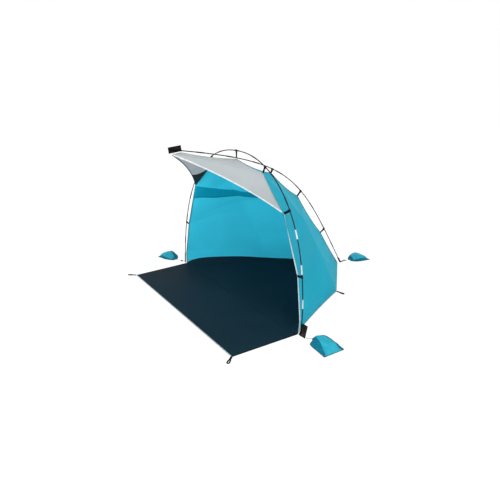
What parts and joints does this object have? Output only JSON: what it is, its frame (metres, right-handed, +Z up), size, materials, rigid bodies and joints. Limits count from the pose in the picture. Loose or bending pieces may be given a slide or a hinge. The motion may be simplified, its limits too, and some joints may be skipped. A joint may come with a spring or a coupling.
{
  "type": "beach tent",
  "caption": "Half-dome beach shade tent with crossed shock-corded poles, clip-on canopy, grey visor, groundsheet with fold-out front, stake loops and sandbags.",
  "frame": {"origin": "on the ground under the floor panel, on the centre line midway between the two feet of the hoop pole", "axes": "+Z up; the open front faces -Y; +X is on the right of a viewer who faces the opening"},
  "size_m": [2.9575, 2.7324, 1.5484],
  "materials": {
    "canopy_cyan": "taut polyester, slight sheen",
    "band_teal": "matt lining",
    "visor_grey": "silver-grey coated fabric, slight sheen",
    "gusset_grey": "matt dark grey reinforcement",
    "floor_navy": "coated groundsheet fabric, low sheen",
    "webbing_black": "woven webbing",
    "clip_black": "moulded nylon",
    "pole_black": "smooth fibreglass tube",
    "cord_grey": "braided cord"
  },
  "bodies": {
    "tent": {"corner_gusset_left": "gusset_grey", "corner_gusset_right": "gusset_grey", "floor_main": "floor_navy", "foot_pocket_left": "webbing_black", "foot_pocket_rear": "webbing_black", "foot_pocket_right": "webbing_black", "hoop_section_1": "pole_black", "hoop_section_2": "pole_black", "hoop_section_3": "pole_black", "hoop_section_4": "pole_black", "hoop_section_5": "pole_black", "hoop_section_6": "pole_black", "hoop_section_7": "pole_black", "hoop_shock_cord": "cord_grey", "roof_left": "canopy_cyan", "roof_right": "canopy_cyan", "shade_band_left": "band_teal", "shade_band_right": "band_teal", "spine_section_1": "pole_black", "spine_section_2": "pole_black", "spine_section_3": "pole_black", "spine_shock_cord": "cord_grey", "stake_loop_rear": "webbing_black", "stake_loop_side_left": "webbing_black", "stake_loop_side_right": "webbing_black", "strap_apex": "webbing_black", "strap_lower_left": "webbing_black", "strap_lower_right": "webbing_black", "strap_middle_left": "webbing_black", "strap_middle_right": "webbing_black", "strap_rear_lower": "webbing_black", "strap_rear_middle": "webbing_black", "strap_rear_upper": "webbing_black", "strap_upper_left": "webbing_black", "strap_upper_right": "webbing_black", "tip_pocket": "webbing_black", "visor": "visor_grey", "wall_left": "canopy_cyan", "wall_right": "canopy_cyan"},
    "door_mat": {"floor_extension": "floor_navy", "stake_loop_front_left": "webbing_black", "stake_loop_front_right": "webbing_black"},
    "clip_apex_body": {"clip_apex": "clip_black"},
    "clip_lower_left_body": {"clip_lower_left": "clip_black"},
    "clip_lower_right_body": {"clip_lower_right": "clip_black"},
    "clip_middle_left_body": {"clip_middle_left": "clip_black"},
    "clip_middle_right_body": {"clip_middle_right": "clip_black"},
    "clip_rear_lower_body": {"clip_rear_lower": "clip_black"},
    "clip_rear_middle_body": {"clip_rear_middle": "clip_black"},
    "clip_rear_upper_body": {"clip_rear_upper": "clip_black"},
    "clip_upper_left_body": {"clip_upper_left": "clip_black"},
    "clip_upper_right_body": {"clip_upper_right": "clip_black"},
    "bag_right": {"sandbag_right": "canopy_cyan", "tether_right": "cord_grey"},
    "bag_left": {"sandbag_left": "canopy_cyan", "tether_left": "cord_grey"},
    "bag_rear": {"sandbag_rear": "canopy_cyan", "tether_rear": "cord_grey"}
  },
  "joints": [
    {"name": "extension_fold", "type": "hinge", "parent": "tent", "child": "door_mat", "pos_m": [0, -0.006, 0.002], "axis": [-1, 0, 0], "range_deg": [0, 88]},
    {"name": "clip_apex_swing", "type": "hinge", "parent": "tent", "child": "clip_apex_body", "pos_m": [0, 0.0689, 1.45165], "axis": [1, 0, 0], "range_deg": [0, 75]},
    {"name": "clip_lower_left_swing", "type": "hinge", "parent": "tent", "child": "clip_lower_left_body", "pos_m": [-1.04469, 0.0248, 0.52757], "axis": [0.1974, 0.046, 0.9793], "range_deg": [0, 75]},
    {"name": "clip_lower_right_swing", "type": "hinge", "parent": "tent", "child": "clip_lower_right_body", "pos_m": [1.04469, 0.0248, 0.52757], "axis": [0.1974, -0.046, -0.9793], "range_deg": [0, 75]},
    {"name": "clip_middle_left_swing", "type": "hinge", "parent": "tent", "child": "clip_middle_left_body", "pos_m": [-0.46322, 0.06375, 1.35644], "axis": [0.9019, 0.0203, 0.4314], "range_deg": [0, 75]},
    {"name": "clip_middle_right_swing", "type": "hinge", "parent": "tent", "child": "clip_middle_right_body", "pos_m": [0.46322, 0.06375, 1.35644], "axis": [0.9019, -0.0203, -0.4314], "range_deg": [0, 75]},
    {"name": "clip_rear_lower_swing", "type": "hinge", "parent": "tent", "child": "clip_rear_lower_body", "pos_m": [0, 1.27641, 0.48048], "axis": [0, -0.5525, 0.8335], "range_deg": [0, 75]},
    {"name": "clip_rear_middle_swing", "type": "hinge", "parent": "tent", "child": "clip_rear_middle_body", "pos_m": [0, 0.89264, 0.97223], "axis": [0, -0.7144, 0.6998], "range_deg": [0, 75]},
    {"name": "clip_rear_upper_swing", "type": "hinge", "parent": "tent", "child": "clip_rear_upper_body", "pos_m": [0, 0.50051, 1.24207], "axis": [0, -0.9087, 0.4175], "range_deg": [0, 75]},
    {"name": "clip_upper_left_swing", "type": "hinge", "parent": "tent", "child": "clip_upper_left_body", "pos_m": [-0.83184, 0.04476, 1.04403], "axis": [0.5806, 0.0382, 0.8133], "range_deg": [0, 75]},
    {"name": "clip_upper_right_swing", "type": "hinge", "parent": "tent", "child": "clip_upper_right_body", "pos_m": [0.83184, 0.04476, 1.04403], "axis": [0.5806, -0.0382, -0.8133], "range_deg": [0, 75]},
    {"name": "bag_right_swing", "type": "hinge", "parent": "tent", "child": "bag_right", "pos_m": [1.15506, 0, 0], "axis": [0, 0, 1], "range_deg": [-30, 30]},
    {"name": "bag_left_swing", "type": "hinge", "parent": "tent", "child": "bag_left", "pos_m": [-1.10755, 0, 0], "axis": [0, 0, 1], "range_deg": [-30, 30]},
    {"name": "bag_rear_swing", "type": "hinge", "parent": "tent", "child": "bag_rear", "pos_m": [0, 1.60131, 0], "axis": [0, 0, 1], "range_deg": [-30, 30]}
  ]
}
